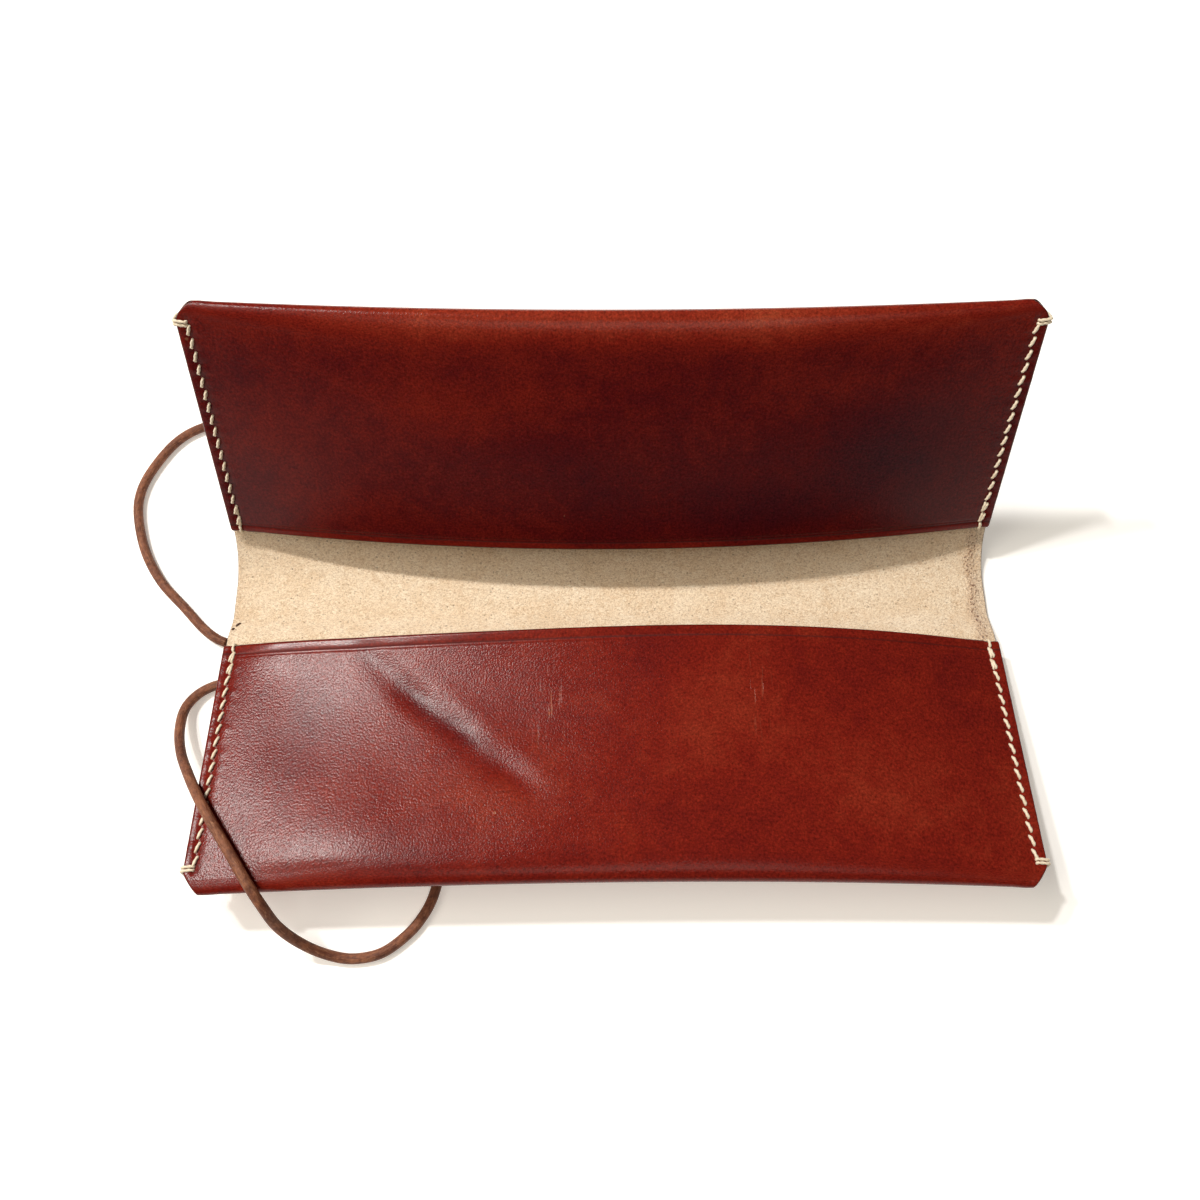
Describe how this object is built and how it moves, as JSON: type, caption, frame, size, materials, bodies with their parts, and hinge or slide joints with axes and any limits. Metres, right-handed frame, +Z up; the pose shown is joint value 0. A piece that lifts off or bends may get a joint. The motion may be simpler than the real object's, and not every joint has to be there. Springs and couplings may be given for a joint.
{
  "type": "leather pencil case",
  "caption": "Leather pencil case that opens like a book: facing stitched pockets made of one folded strip of hide, joined by a bare spine, with a leather cord to tie it shut.",
  "frame": {"origin": "middle of the spine's flat strip, on its underside, where the open case rests on the table", "axes": "+X along the case's width, +Y towards the raised half, +Z up"},
  "size_m": [0.2661, 0.172, 0.0759],
  "materials": {
    "mahogany_leather": "glossy mahogany-red grain side",
    "natural_flesh_side": "natural tan, fuzzy flesh side",
    "waxed_cream_thread": "twisted and waxed cream linen",
    "brown_cord_leather": "round brown cord, satin"
  },
  "bodies": {
    "spine": {"spine": "natural_flesh_side", "cord_upper_tail": "brown_cord_leather"},
    "front_half": {"front_back_wall": "mahogany_leather", "front_pocket_panel": "mahogany_leather", "front_left_seam_thread": "waxed_cream_thread", "front_right_seam_thread": "waxed_cream_thread", "cord_tack_stitch": "waxed_cream_thread", "cord_lower_tail": "brown_cord_leather"},
    "rear_half": {"rear_back_wall": "mahogany_leather", "rear_pocket_panel": "mahogany_leather", "rear_left_seam_thread": "waxed_cream_thread", "rear_right_seam_thread": "waxed_cream_thread"}
  },
  "joints": [
    {"name": "front_bend", "type": "hinge", "parent": "spine", "child": "front_half", "pos_m": [0, -0.01261, 0.0041], "axis": [-1, 0, 0], "range_deg": [0, 81]},
    {"name": "rear_bend", "type": "hinge", "parent": "spine", "child": "rear_half", "pos_m": [0, 0.01379, 0.00351], "axis": [1, 0, 0], "range_deg": [-53, 29]}
  ]
}
